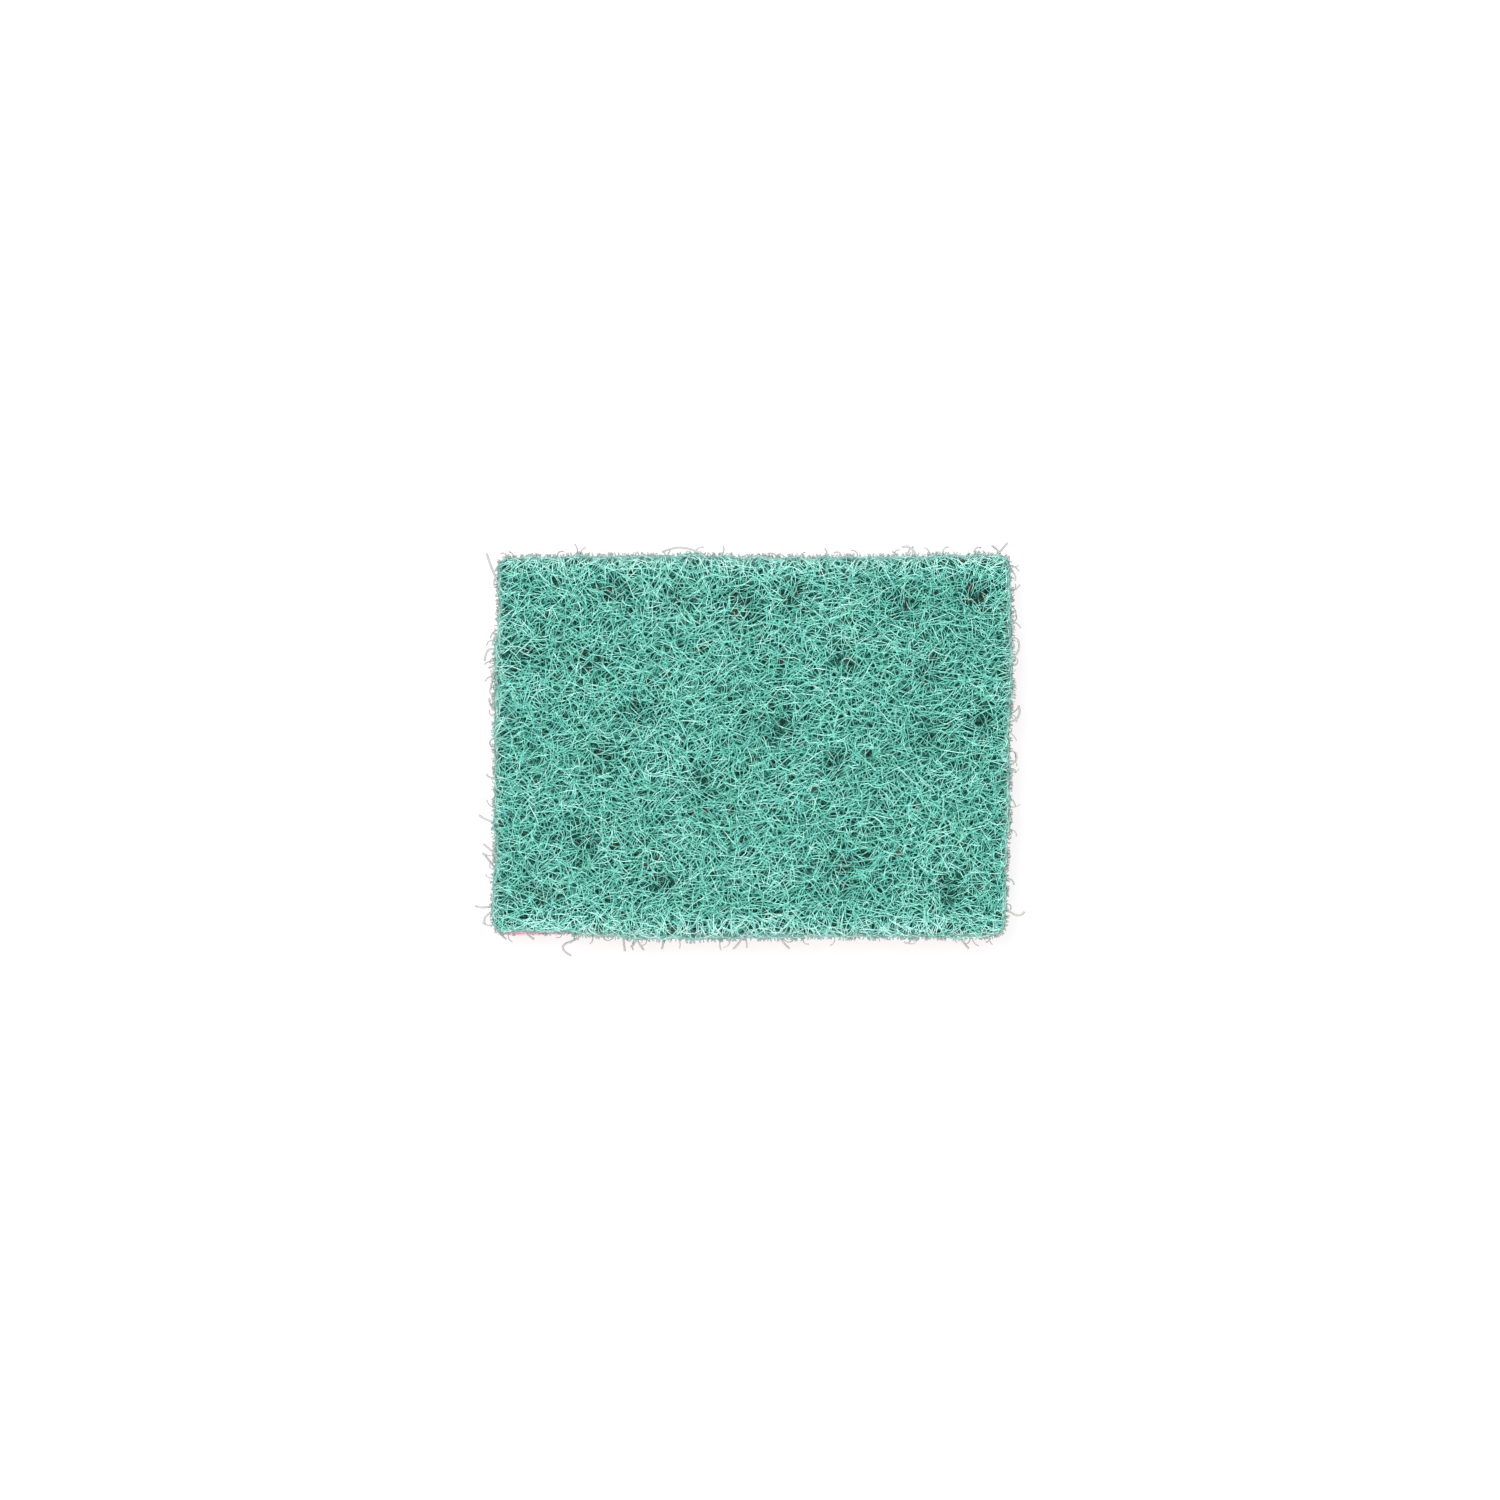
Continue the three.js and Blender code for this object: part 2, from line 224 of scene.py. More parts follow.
def shader(name, roughness):
    """A new material whose tree holds a Principled shader, and a function that adds nodes to it."""
    material = bpy.data.materials.new(name)
    material.use_nodes = True
    tree = material.node_tree
    skin = tree.nodes["Principled BSDF"]
    skin.inputs["Roughness"].default_value = roughness

    def add(kind, links=(), **settings):
        node = tree.nodes.new(kind)
        for key, value in settings.items():
            if hasattr(node, key):
                setattr(node, key, value)
            else:
                node.inputs[key.replace("_", " ")].default_value = value
        for source, socket in links:
            tree.links.new(source, node.inputs[socket])
        return node

    return material, skin, add, tree.links


def ramp(add, factor, stops):
    """A colour ramp over a factor, with stops of (place, colour)."""
    node = add("ShaderNodeValToRGB", [(factor, "Fac")])
    while len(node.color_ramp.elements) < len(stops):
        node.color_ramp.elements.new(0.5)
    for element, (place, colour) in zip(node.color_ramp.elements, stops):
        element.position = place
        element.color = (*colour, 1)
    return node


def srgb(red, green, blue):
    """A colour written as 0 to 255 on screen, in the linear light that shaders read."""
    return tuple(((c / 255 + 0.055) / 1.055) ** 2.4 if c > 10 else c / 3295 for c in (red, green, blue))


# Painted light and shade on the foam: its cell walls are painted paler, and its cells and pores darker,
# deepest in the pores; the middle colour is the foam's own
FOAM_RIM_HIGHLIGHT = srgb(246, 160, 176)
FOAM_MIDDLE = srgb(232, 112, 134)
FOAM_PORE_SHADE = srgb(172, 56, 76)
FINE_CELLS = 1450  # to the metre

foam_skin, skin, add, links = shader("foam_skin", 0.93)
place = add("ShaderNodeTexCoord").outputs["Object"]
cells = add("ShaderNodeTexVoronoi", [(place, "Vector")], feature="F1", Scale=FINE_CELLS)
walls = add("ShaderNodeTexVoronoi", [(place, "Vector")], feature="DISTANCE_TO_EDGE", Scale=FINE_CELLS)
blotch = add("ShaderNodeTexNoise", [(place, "Vector")], Scale=90, Detail=4, Roughness=0.6)
# painted shade in the opened cells, darker where a cell is deeper
pore_shade = add("ShaderNodeAttribute", attribute_name="pore_shade")
cell_shade = add("ShaderNodeMapRange", [(cells.outputs["Distance"], "Value")], To_Min=0.55, To_Max=-0.15)
with_pore_shade = add("ShaderNodeMath", [(cell_shade.outputs[0], 0), (pore_shade.outputs["Fac"], 1)], operation="ADD")
with_blotch = add(
    "ShaderNodeMath",
    [(blotch.outputs["Fac"], 0), (with_pore_shade.outputs[0], 2)],
    operation="MULTIPLY_ADD",
)
with_blotch.inputs[1].default_value = 0.3
foam_colour = ramp(add, with_blotch.outputs[0], [(0.1, FOAM_RIM_HIGHLIGHT), (0.5, FOAM_MIDDLE), (1.0, FOAM_PORE_SHADE)])
links.new(foam_colour.outputs["Color"], skin.inputs["Base Color"])
bump = add(
    "ShaderNodeBump", [(walls.outputs["Distance"], "Height")], Strength=0.7, Distance=0.35 * MM, invert=True
)
links.new(bump.outputs["Normal"], skin.inputs["Normal"])
skin.inputs["Sheen Weight"].default_value = 0.15
foam.data.materials.append(foam_skin)
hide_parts("foam_brick")
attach(foam, "root")

# Web of the scouring pad: crimped nylon fibre laid as fleece, needled and sprayed with a green resin, so
# that its heart is a matted web, coloured dark as painted shade under the fibres. It is bonded to the foam,
# thin in places, and pressed at the edges.

PAD_THICKNESS = 6 * MM  # bond line to the mean height of its face
CORNER = 2.2 * MM  # radius of its outline's corners
EDGE_FALL = 0.9 * MM  # how far its face falls away at the cut edge
EDGE_BAND = 2.6 * MM
SWELL = 0.45 * MM  # of the swells in its face
SWELL_PITCH = 11 * MM
WEB_PITCH = 0.6 * MM  # of the grid on its faces
WEB_UNDER = 1.15 * MM  # its top lies this far under the face that the fibres make
WEB_INSET = 0.55 * MM  # likewise its sides
WEB_EDGES = np.array([CORNER - WEB_INSET, CORNER - WEB_INSET, 1.1 * MM])
MAT_RELIEF = 0.16 * MM  # of the strands in its skin
MAT_PITCH = 1.6 * MM
MAT_SIDE_PITCH = 1.5 * MM
THIN_DEPTH = 1.5 * MM
# Thin spots, where the web is open and the face sinks: place along and across, and radius
THIN_SPOTS = np.array([
    (-1.4, 26.3, 3.6), (7.6, 27.7, 2.6), (-14.3, 27.3, 2.4), (-25.2, 28.0, 2.8), (-42.8, 16.1, 2.9),
    (-29.0, 15.4, 2.2), (-21.4, 7.0, 2.9), (27.6, 26.6, 2.6), (40.9, 28.0, 2.4), (16.6, 16.5, 2.6),
    (31.8, 13.3, 2.4), (5.2, 3.5, 3.1), (33.7, 1.8, 3.2), (42.3, 4.2, 2.5), (-27.1, -2.1, 2.8),
    (-9.5, -6.0, 2.3), (-31.4, -17.9, 3.1), (-16.6, -25.6, 2.7), (17.1, -22.4, 3.0), (36.1, -27.0, 3.1),
    (-38.0, -27.3, 2.5), (15.7, -3.2, 2.3),
]) * MM

pad_top = foam_top + PAD_THICKNESS


def thinness(x, y):
    """From 0 to 1, how far a place lies in a thin spot: the sum of bells exp(-(distance / radius)^2)."""
    depth = np.zeros(np.shape(x))
    for spot_x, spot_y, radius in THIN_SPOTS:
        depth += np.exp(-((x - spot_x) ** 2 + (y - spot_y) ** 2) / radius**2)
    return np.minimum(depth, 1)


def edge_share(x, y):
    """0 inside the pad, rising to 1 at its cut edge over the band in which the face falls away."""
    inside = np.minimum(half_length - np.abs(x), half_width - np.abs(y))
    return np.clip(1 - inside / EDGE_BAND, 0, 1)


def face_drop(x, y):
    """How far the pad's face lies under its mean height: swells, thin spots and the fall at the edge."""
    swells = SWELL * (waves(x, y, SWELL_PITCH, 21) + 0.5 * waves(x, y, SWELL_PITCH / 3, 22))
    return THIN_DEPTH * thinness(x, y) + EDGE_FALL * edge_share(x, y) ** 2 - 0.6 * swells


web_points, web_normals, web_quads, web_cap = block(
    (-half_length + WEB_INSET, -half_width + WEB_INSET, foam_top),
    (half_length - WEB_INSET, half_width - WEB_INSET, pad_top - WEB_UNDER),
    WEB_PITCH,
    WEB_EDGES,
    open_top=True,
)
rise = np.clip((web_points[:, 2] - foam_top) / (pad_top - WEB_UNDER - foam_top), 0, 1)
drop = face_drop(web_points[:, 0], web_points[:, 1])
mat = waves(web_points[:, 0], web_points[:, 1], MAT_PITCH, 24, 15)
mat += waves(web_points[:, 1], web_points[:, 2], MAT_SIDE_PITCH, 25, 11)
web_points = web_points + web_normals * (MAT_RELIEF * mat * rise)[:, None]
web_points[:, 2] -= drop * rise
web_points[:, 2] = np.maximum(web_points[:, 2], foam_top)
web = mesh_piece("pad_web", leaned(web_points), web_quads, web_cap)

# Painted shade: the web is coloured dark, darkest between its strands, for the shade deep under the fibres
WEB_SHADE = srgb(10, 32, 26)
WEB_MIDDLE = srgb(26, 72, 61)
WEB_LIGHT = srgb(60, 128, 113)

web_skin, skin, add, links = shader("web_skin", 0.9)
skin.inputs["Specular IOR Level"].default_value = 0.1
place = add("ShaderNodeTexCoord").outputs["Object"]
twist = add("ShaderNodeTexNoise", [(place, "Vector")], Scale=420, Detail=2)
bent = add("ShaderNodeVectorMath", [(twist.outputs["Color"], 0), (place, 2)], operation="MULTIPLY_ADD")
bent.inputs[1].default_value = (0.0016, 0.0016, 0.0016)
strands = add("ShaderNodeTexVoronoi", [(bent.outputs[0], "Vector")], feature="DISTANCE_TO_EDGE", Scale=900)
finer = add("ShaderNodeTexVoronoi", [(bent.outputs[0], "Vector")], feature="DISTANCE_TO_EDGE", Scale=1700)
both = add(
    "ShaderNodeMath",
    [(strands.outputs["Distance"], 0), (finer.outputs["Distance"], 1)],
    operation="MINIMUM",
)
web_colour = ramp(add, both.outputs[0], [(0.0, WEB_LIGHT), (0.06, WEB_MIDDLE), (0.22, WEB_SHADE)])
links.new(web_colour.outputs["Color"], skin.inputs["Base Color"])
bump = add("ShaderNodeBump", [(both.outputs[0], "Height")], Strength=0.9, Distance=0.4 * MM, invert=True)
links.new(bump.outputs["Normal"], skin.inputs["Normal"])
web.data.materials.append(web_skin)
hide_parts("scouring_pad")
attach(web, "root")

# Fibres of the pad: thousands of crimped nylon filaments, each coated with pale teal resin, that lie over
# and under each other on the face and down the cut sides, held to the web wherever they cross.

FIBRE_RADIUS = 0.08 * MM
FIBRE_SIDES = 3
FOLD = 0.8 * MM  # radius with which the layer of fibre turns down over the cut edge
# How far the fibres stand outside the pad's nominal outline: place along the edge and reach, both in mm
REACH_FRONT = [
    (-47, -0.35), (-38, -0.35), (-33, -0.1), (-26, 0.4), (-22, 1.0),
    (-6, 1.0), (5, 0.7), (22, 0.6), (40, 0.75), (45, 0.4), (47, -0.1),
]
REACH_BACK = [(-47, 0.1), (-34, 0.4), (-15, 0.5), (-11, 0.8), (-2, 0.2), (20, 0.2), (33, 0.5), (47, 0.8)]
REACH_LEFT = [
    (-35, 0.2), (-29, 0.6), (-23, 0.3), (-18, 0.3), (-13, 0.8),
    (-8, 0.3), (5, 0.5), (15, 0.8), (26, 0.2), (35, 0.3),
]
REACH_RIGHT = [(-35, 0), (-18, 0.1), (-13, 0.5), (5, 0.5), (15, 0.8), (20, 0.5), (35, 0.2)]
WANDER = 0.26 * MM  # of the cut edge besides that
WANDER_PITCH = 5 * MM
# The carding machine lays most filaments along two diagonals: their headings, shares and spread
LAY_HEADINGS = np.radians([40, 138])
LAY_SHARES = (0.58, 0.42)
LAY_SPREAD = 0.31
EVEN_STEP = np.array([0.7548776662, 0.5698402910])  # 1 / g and 1 / g^2, where g^3 = g + 1
EDGE_HIGHLIGHT_BAND = 4.4 * MM  # width of the paler band of painted highlight along the two long edges
END_HIGHLIGHT_BAND = 1.6 * MM  # and along the two ends


def proud(held, outward):
    """How far the cut edge stands outside the nominal outline: the reach of the long edge there and of
    the end there, mixed by the squares of the outward direction, and a small wander."""
    front, back, left, right = (
        np.interp(held[..., axis] / MM, *zip(*reach)) * MM
        for axis, reach in ((0, REACH_FRONT), (0, REACH_BACK), (1, REACH_LEFT), (1, REACH_RIGHT))
    )
    along, across = outward[..., 0], outward[..., 1]
    mean = np.where(along < 0, left, right) * along**2 + np.where(across < 0, front, back) * across**2
    return mean + WANDER * waves(held[..., 0], held[..., 1], WANDER_PITCH, 31)


def folded(sheet, depth):
    """Points of a flat sheet laid over the pad, depth under its face, with their outward normals.

    A sheet point p goes to q + d * n, where q is p held a corner radius inside the outline. Up to the
    fold, d is |p - q|; beyond it the rest of |p - q| runs a quarter round of the fold's radius and then
    straight down the side. Near the edge the wander of the cut is added to d.
    """
    limit = np.array([half_length, half_width]) - CORNER
    held = np.clip(sheet, -limit, limit)
    beyond = sheet - held
    distance = np.linalg.norm(beyond, axis=-1)
    outward = beyond / np.maximum(distance, 1e-9)[..., None]
    flat = CORNER - FOLD
    turn = np.clip((distance - flat) / FOLD, 0, math.pi / 2)
    reach = np.minimum(distance, flat) + FOLD * np.sin(turn)
    down = FOLD * (1 - np.cos(turn)) + np.maximum(distance - flat - FOLD * math.pi / 2, 0)
    cut = proud(held, outward) * np.minimum(distance / CORNER, 1)
    plan = held + outward * (reach + cut)[..., None]
    normals = np.concatenate([outward * np.sin(turn)[..., None], np.cos(turn)[..., None]], axis=-1)
    height = pad_top - down - face_drop(plan[..., 0], plan[..., 1]) * np.cos(turn * 0.8)
    points = np.concatenate([plan, height[..., None]], axis=-1)
    return points - normals * depth[..., None], normals


def tubes(name, points, normals, radius, marks):
    """One mesh of closed tubes of a few sides along rows of points. The sides of each are set off from
    its line by radius * (cos a * side + sin a * up), where side is across both line and normal."""
    count, steps, _ = points.shape
    along = np.gradient(points, axis=1)
    along /= np.maximum(np.linalg.norm(along, axis=2, keepdims=True), 1e-12)
    side = np.cross(along, normals)
    side /= np.maximum(np.linalg.norm(side, axis=2, keepdims=True), 1e-12)
    up = np.cross(side, along)
    angle = 2 * math.pi * np.arange(FIBRE_SIDES) / FIBRE_SIDES + math.pi / 2
    ring = side[:, :, None, :] * np.cos(angle)[:, None] + up[:, :, None, :] * np.sin(angle)[:, None]
    corners = points[:, :, None, :] + ring * radius[:, None, None, None]
    index = np.arange(count * steps * FIBRE_SIDES).reshape(count, steps, FIBRE_SIDES)
    after = np.roll(index, -1, axis=2)
    quads = np.stack([index[:, :-1], index[:, 1:], after[:, 1:], after[:, :-1]], axis=-1).reshape(-1, 4)
    ends = np.concatenate([index[:, 0], index[:, -1, ::-1]])
    spread = {mark: np.repeat(np.ravel(numbers), FIBRE_SIDES) for mark, numbers in marks.items()}
    return mesh_piece(name, leaned(corners.reshape(-1, 3)), quads, triangles=ends, marks=spread)


def fleece_rows(count, steps, step, curl, rng):
    """Rows of points on the flat sheet, each a line whose heading turns by k0 + k1 * sin(w * i + f) per
    step, so that it curls one way and is crimped as well. Row number i is placed at the fractional part
    of i * EVEN_STEP, which spreads the rows evenly."""
    reach = np.array([half_length, half_width]) + PAD_THICKNESS * 0.93
    even = np.arange(count)[:, None] * EVEN_STEP + rng.uniform(0, 1, 2)
    start = (2 * (even % 1) - 1) * reach
    i = np.arange(steps + 1)
    bend = rng.choice([-1, 1], count) * rng.uniform(*curl, count) * step
    crimp = rng.uniform(0.05, 0.4, count)
    rate = rng.uniform(0.7, 2.2, count)
    phase = rng.uniform(0, 2 * math.pi, count)
    lay = rng.choice(LAY_HEADINGS, count, p=LAY_SHARES)
    heading = lay + rng.normal(0, LAY_SPREAD, count) + rng.integers(0, 2, count) * math.pi
    turn = bend[:, None] + crimp[:, None] * np.sin(rate[:, None] * i + phase[:, None])
    angle = heading[:, None] + np.cumsum(turn, axis=1)
    travel = np.stack([np.cos(angle), np.sin(angle)], axis=2) * step
    rows = np.cumsum(travel, axis=1)
    return start[:, None] + rows - rows.mean(axis=1, keepdims=True)


def edge_highlight_share(points):
    """From 0 to 1, how near a point is to the cut edges, where the fibres are painted paler as highlight."""
    long_edge = 1 - (half_width - np.abs(points[..., 1])) / EDGE_HIGHLIGHT_BAND
    end_edge = 1 - (half_length - np.abs(points[..., 0])) / END_HIGHLIGHT_BAND
    return np.maximum(np.clip(long_edge, 0, 1), 0.8 * np.clip(end_edge, 0, 1))


# The two darkest fibre colours are painted shade for filaments sunk in the fleece
FIBRE_DEEPEST_SHADE = srgb(3, 26, 21)
FIBRE_SHADED = srgb(50, 130, 114)
FIBRE_MIDDLE = srgb(104, 196, 180)
FIBRE_PALE = srgb(194, 232, 225)
FIBRE_SIDE_SHADE = srgb(128, 148, 143)  # painted shade: the cut sides are painted greyer and darker than the face
FOAM_GLINT = srgb(118, 26, 32)  # the foam seen between sunk filaments, in a darker red that is painted shade

fibre_skin, skin, add, links = shader("fibre_skin", 0.5)
skin.inputs["Specular IOR Level"].default_value = 0.35
place = add("ShaderNodeTexCoord").outputs["Object"]
tone = add("ShaderNodeAttribute", attribute_name="tone")
patch = add("ShaderNodeTexNoise", [(place, "Vector")], Scale=55, Detail=3, Roughness=0.55)
coat = add("ShaderNodeTexNoise", [(place, "Vector")], Scale=2000, Detail=1)
patched = add(
    "ShaderNodeMath",
    [(patch.outputs["Fac"], 0), (tone.outputs["Fac"], 2)],
    operation="MULTIPLY_ADD",
)
patched.inputs[1].default_value = 0.2
coated = add(
    "ShaderNodeMath",
    [(coat.outputs["Fac"], 0), (patched.outputs[0], 2)],
    operation="MULTIPLY_ADD",
)
coated.inputs[1].default_value = 0.5
fibre_stops = [(0.0, FIBRE_DEEPEST_SHADE), (0.35, FIBRE_SHADED), (0.65, FIBRE_MIDDLE), (1.0, FIBRE_PALE)]
fibre_colour = ramp(add, coated.outputs[0], fibre_stops)
glint = add("ShaderNodeAttribute", attribute_name="glint")
spots = add("ShaderNodeTexVoronoi", [(place, "Vector")], feature="F1", Scale=1300)
picked = add("ShaderNodeSeparateColor", [(spots.outputs["Color"], "Color")])
raised = add("ShaderNodeMath", [(picked.outputs[0], 0), (glint.outputs["Fac"], 1)], operation="ADD")
glow = add("ShaderNodeMapRange", [(raised.outputs[0], "Value")], From_Min=0.97, From_Max=1.0)
tinted = add("ShaderNodeMix", [(glow.outputs[0], 0), (fibre_colour.outputs["Color"], 6)], data_type="RGBA")
tinted.inputs[7].default_value = (*FOAM_GLINT, 1)
# the cut attribute carries the painted shade of the cut sides
cut = add("ShaderNodeAttribute", attribute_name="cut")
side_shaded = add("ShaderNodeMix", [(cut.outputs["Fac"], 0), (tinted.outputs[2], 6)], data_type="RGBA")
side_shaded.inputs[7].default_value = (*FIBRE_SIDE_SHADE, 1)
links.new(side_shaded.outputs[2], skin.inputs["Base Color"])

TONE_AT_FACE = 0.325
SHADE_PER_DEPTH = 1.9 / MM  # painted shade: a filament sunk in the fleece is painted this much darker per depth
SHADE_START = 0.4 * MM  # depth at which that starts
SIDE_SHADE = 0.3  # painted shade: tone lost on the cut sides
SIDE_SHADE_MIX = 0.55  # how far the cut sides go to the colour of their painted shade
EDGE_HIGHLIGHT_TONE = 0.24  # painted highlight: tone gained along the cut edges
TONE_SPREAD = 0.1  # from filament to filament
GLINTS = 0.01  # share of sunk places with a glint of foam
GLINTS_IN_SPOTS = 0.17  # and that much more in the thin spots
PLAIN_MIDDLE = 12 * MM  # half the width of the middle, where the web is closed and hides the foam
MISSING = 0.17  # share of the first layer's filaments that a thin spot lacks
MISSING_PER_LAYER = 0.12
DIVE = 0.5 * MM  # how far the ends of a filament duck under the others
FOOT_CLEAR = 1.4 * MM  # between the lowest filaments and the bond line
STRAIGHT = (0.0, 0.16 / MM)  # least and most curl, as heading turned per length
CURLED = (0.3 / MM, 0.9 / MM)
# Layers from the heart of the pad out: name, number of filaments, steps and length of a step, curl, and
# least and most depth under the face
LAYERS = [
    ("fibres_deep", 3400, 5, 1.3 * MM, STRAIGHT, 0.9 * MM, 1.5 * MM),
    ("fibres_lower", 4600, 5, 1.25 * MM, STRAIGHT, 0.55 * MM, 1.05 * MM),
    ("fibres_middle", 5600, 5, 1.2 * MM, STRAIGHT, 0.25 * MM, 0.75 * MM),
    ("fibres_curled", 3900, 7, 0.8 * MM, CURLED, 0.05 * MM, 0.6 * MM),
    ("fibres_crest", 5800, 5, 1.2 * MM, STRAIGHT, 0.0 * MM, 0.45 * MM),
]
for layer, (name, wanted, steps, step, curl, least, most) in enumerate(LAYERS):
    rng = np.random.default_rng(100 + layer)
    rows = fleece_rows(3 * wanted, steps, step, curl, rng)
    middle = rows.mean(axis=1)
    missing = (MISSING + MISSING_PER_LAYER * layer) * thinness(middle[:, 0], middle[:, 1])
    kept = rng.uniform(0, 1, len(rows)) > missing
    low_reach = np.abs(rows) - np.array([half_length, half_width])
    kept &= low_reach.max(axis=(1, 2)) < PAD_THICKNESS - FOOT_CLEAR
    rows = rows[kept][:wanted]
    count = len(rows)
    i = np.arange(steps + 1)
    beat, phase = rng.uniform(0.8, 1.8, (count, 1)), rng.uniform(0, 2 * math.pi, (count, 1))
    weave = 0.5 + 0.5 * np.sin(beat * i + phase)
    depth = least + (most - least) * weave + DIVE * np.abs(2 * i / steps - 1) ** 4
    points, normals = folded(rows, depth)
    radius = FIBRE_RADIUS * rng.uniform(0.72, 1.18, count)
    # painted shade: tone falls with depth under the face
    shade_depth = np.maximum(depth - SHADE_START, 0)
    tones = TONE_AT_FACE - SHADE_PER_DEPTH * shade_depth + rng.normal(0, TONE_SPREAD, count)[:, None]
    # painted highlight along the cut edges, painted shade down the cut sides
    tones += EDGE_HIGHLIGHT_TONE * edge_highlight_share(points) - SIDE_SHADE * (1 - normals[..., 2])
    off_middle = np.clip(np.abs(points[..., 1]) / PLAIN_MIDDLE - 1, 0, 1)
    open_spots = thinness(points[..., 0], points[..., 1]) * off_middle
    glints = np.where(depth > SHADE_START, GLINTS + GLINTS_IN_SPOTS * open_spots, -1)
    # painted shade: the cut sides turn greyer and darker
    cut = SIDE_SHADE_MIX * np.clip(1.6 * (1 - normals[..., 2]), 0, 1)
    layer_piece = tubes(name, points, normals, radius, {"tone": tones, "glint": glints, "cut": cut})
    layer_piece.data.materials.append(fibre_skin)
    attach(layer_piece, "root")

# Fringe of the pad: where the blade cut the fleece its filaments stand out of the four sides as short
# stubs and small loops, and here and there a long one has been pulled loose.

STUBS = 1500
STUB_STEPS = 4
STUB_STEP = 0.27 * MM
LOOPS = 84
LOOP_STEPS = 9
LOOP_STEP = 0.3 * MM
FRINGE_RADIUS = 0.12 * MM
FRINGE_ROOTED = 0.45 * MM  # length of a stub that is inside the pad
LOOP_ROOTED = 0.5 * MM
STUB_SPREAD = 0.7  # of the headings, in radians
LOOP_SPREAD = 0.5
FRINGE_ROOT = srgb(110, 160, 148)
FRINGE_TIP = srgb(166, 167, 165)  # the hairs round the rim look grey
STRAY_RADIUS = 0.2 * MM
STRAY_STEPS = 16
# Filaments pulled loose: height as a share of the pad, and places along and across from tip to root
STRAYS = [
    (0.8, [(-49.8, 35.8), (-49.3, 34.1), (-48.5, 32.3), (-47.6, 30.1), (-46.5, 27.5)]),
    (0.7, [(-50.0, 15.8), (-49.8, 18.2), (-48.7, 18.9), (-47.8, 17.8), (-46.3, 16.0)]),
    (0.5, [(-49.3, 14.5), (-47.8, 15.4), (-46.3, 14.8)]),
    (0.6, [(-48.9, 10.4), (-48.5, 12.6), (-48.0, 14.5), (-46.3, 16.9)]),
    (0.7, [(-50.7, -12.8), (-49.8, -13.7), (-48.7, -13.9), (-46.1, -14.8)]),
    (0.8, [(-49.8, -18.2), (-48.9, -18.9), (-48.0, -19.7), (-46.1, -21.5)]),
    (0.6, [(-50.0, -19.9), (-48.9, -21.0), (-47.8, -22.4), (-46.1, -25.2)]),
    (0.5, [(-51.3, -29.7), (-50.4, -30.4), (-48.9, -29.9), (-46.1, -29.7)]),
    (0.7, [(-49.4, -33.0), (-49.8, -31.5), (-48.7, -31.0), (-46.3, -30.4)]),
    (0.5, [(-45.4, -36.0), (-46.7, -35.1), (-47.6, -33.8), (-46.8, -31.4)]),
    (0.6, [(-40.2, -36.0), (-41.3, -35.3), (-42.4, -34.1)]),
    (0.7, [(-33.3, -39.0), (-36.3, -37.5), (-35.0, -35.8), (-32.6, -37.1), (-31.3, -35.6), (-30.9, -34.1)]),
    (0.6, [(-23.3, -38.2), (-23.5, -36.7), (-23.8, -34.1)]),
    (0.5, [(-19.8, -38.0), (-20.9, -36.7), (-22.0, -34.1)]),
    (0.5, [(-22.2, -37.5), (-21.2, -36.4), (-19.9, -34.1)]),
    (0.6, [(-16.4, -37.8), (-16.0, -36.4), (-16.4, -34.1)]),
    (0.7, [(-3.2, -37.8), (-2.1, -36.9), (-0.8, -34.5)]),
    (0.6, [(7.3, -37.7), (6.2, -36.7), (4.4, -34.3)]),
    (0.5, [(40.7, -37.7), (39.6, -36.5), (37.6, -34.1)]),
    (0.6, [(50.9, -30.8), (50.4, -32.1), (48.9, -31.7), (46.7, -29.5)]),
    (0.7, [(49.1, 19.7), (50.0, 17.8), (48.5, 16.0), (46.5, 15.6)]),
    (0.6, [(49.4, 7.6), (50.2, 5.6), (48.9, 4.1), (46.5, 4.5)]),
    (0.5, [(48.9, -1.1), (49.8, -2.6), (48.5, -4.1), (46.5, -3.3)]),
    (0.8, [(-17.2, 36.0), (-14.6, 37.5), (-11.6, 37.1), (-9.4, 35.8), (-7.5, 33.4)]),
    (0.8, [(27.4, 36.9), (28.8, 37.5), (30.0, 36.4), (30.7, 33.4)]),
    (0.7, [(47.0, 37.8), (46.1, 36.7), (45.2, 35.8), (43.7, 33.4)]),
    (0.6, [(44.1, 37.3), (45.4, 36.5), (46.3, 35.3), (45.9, 33.0)]),
]


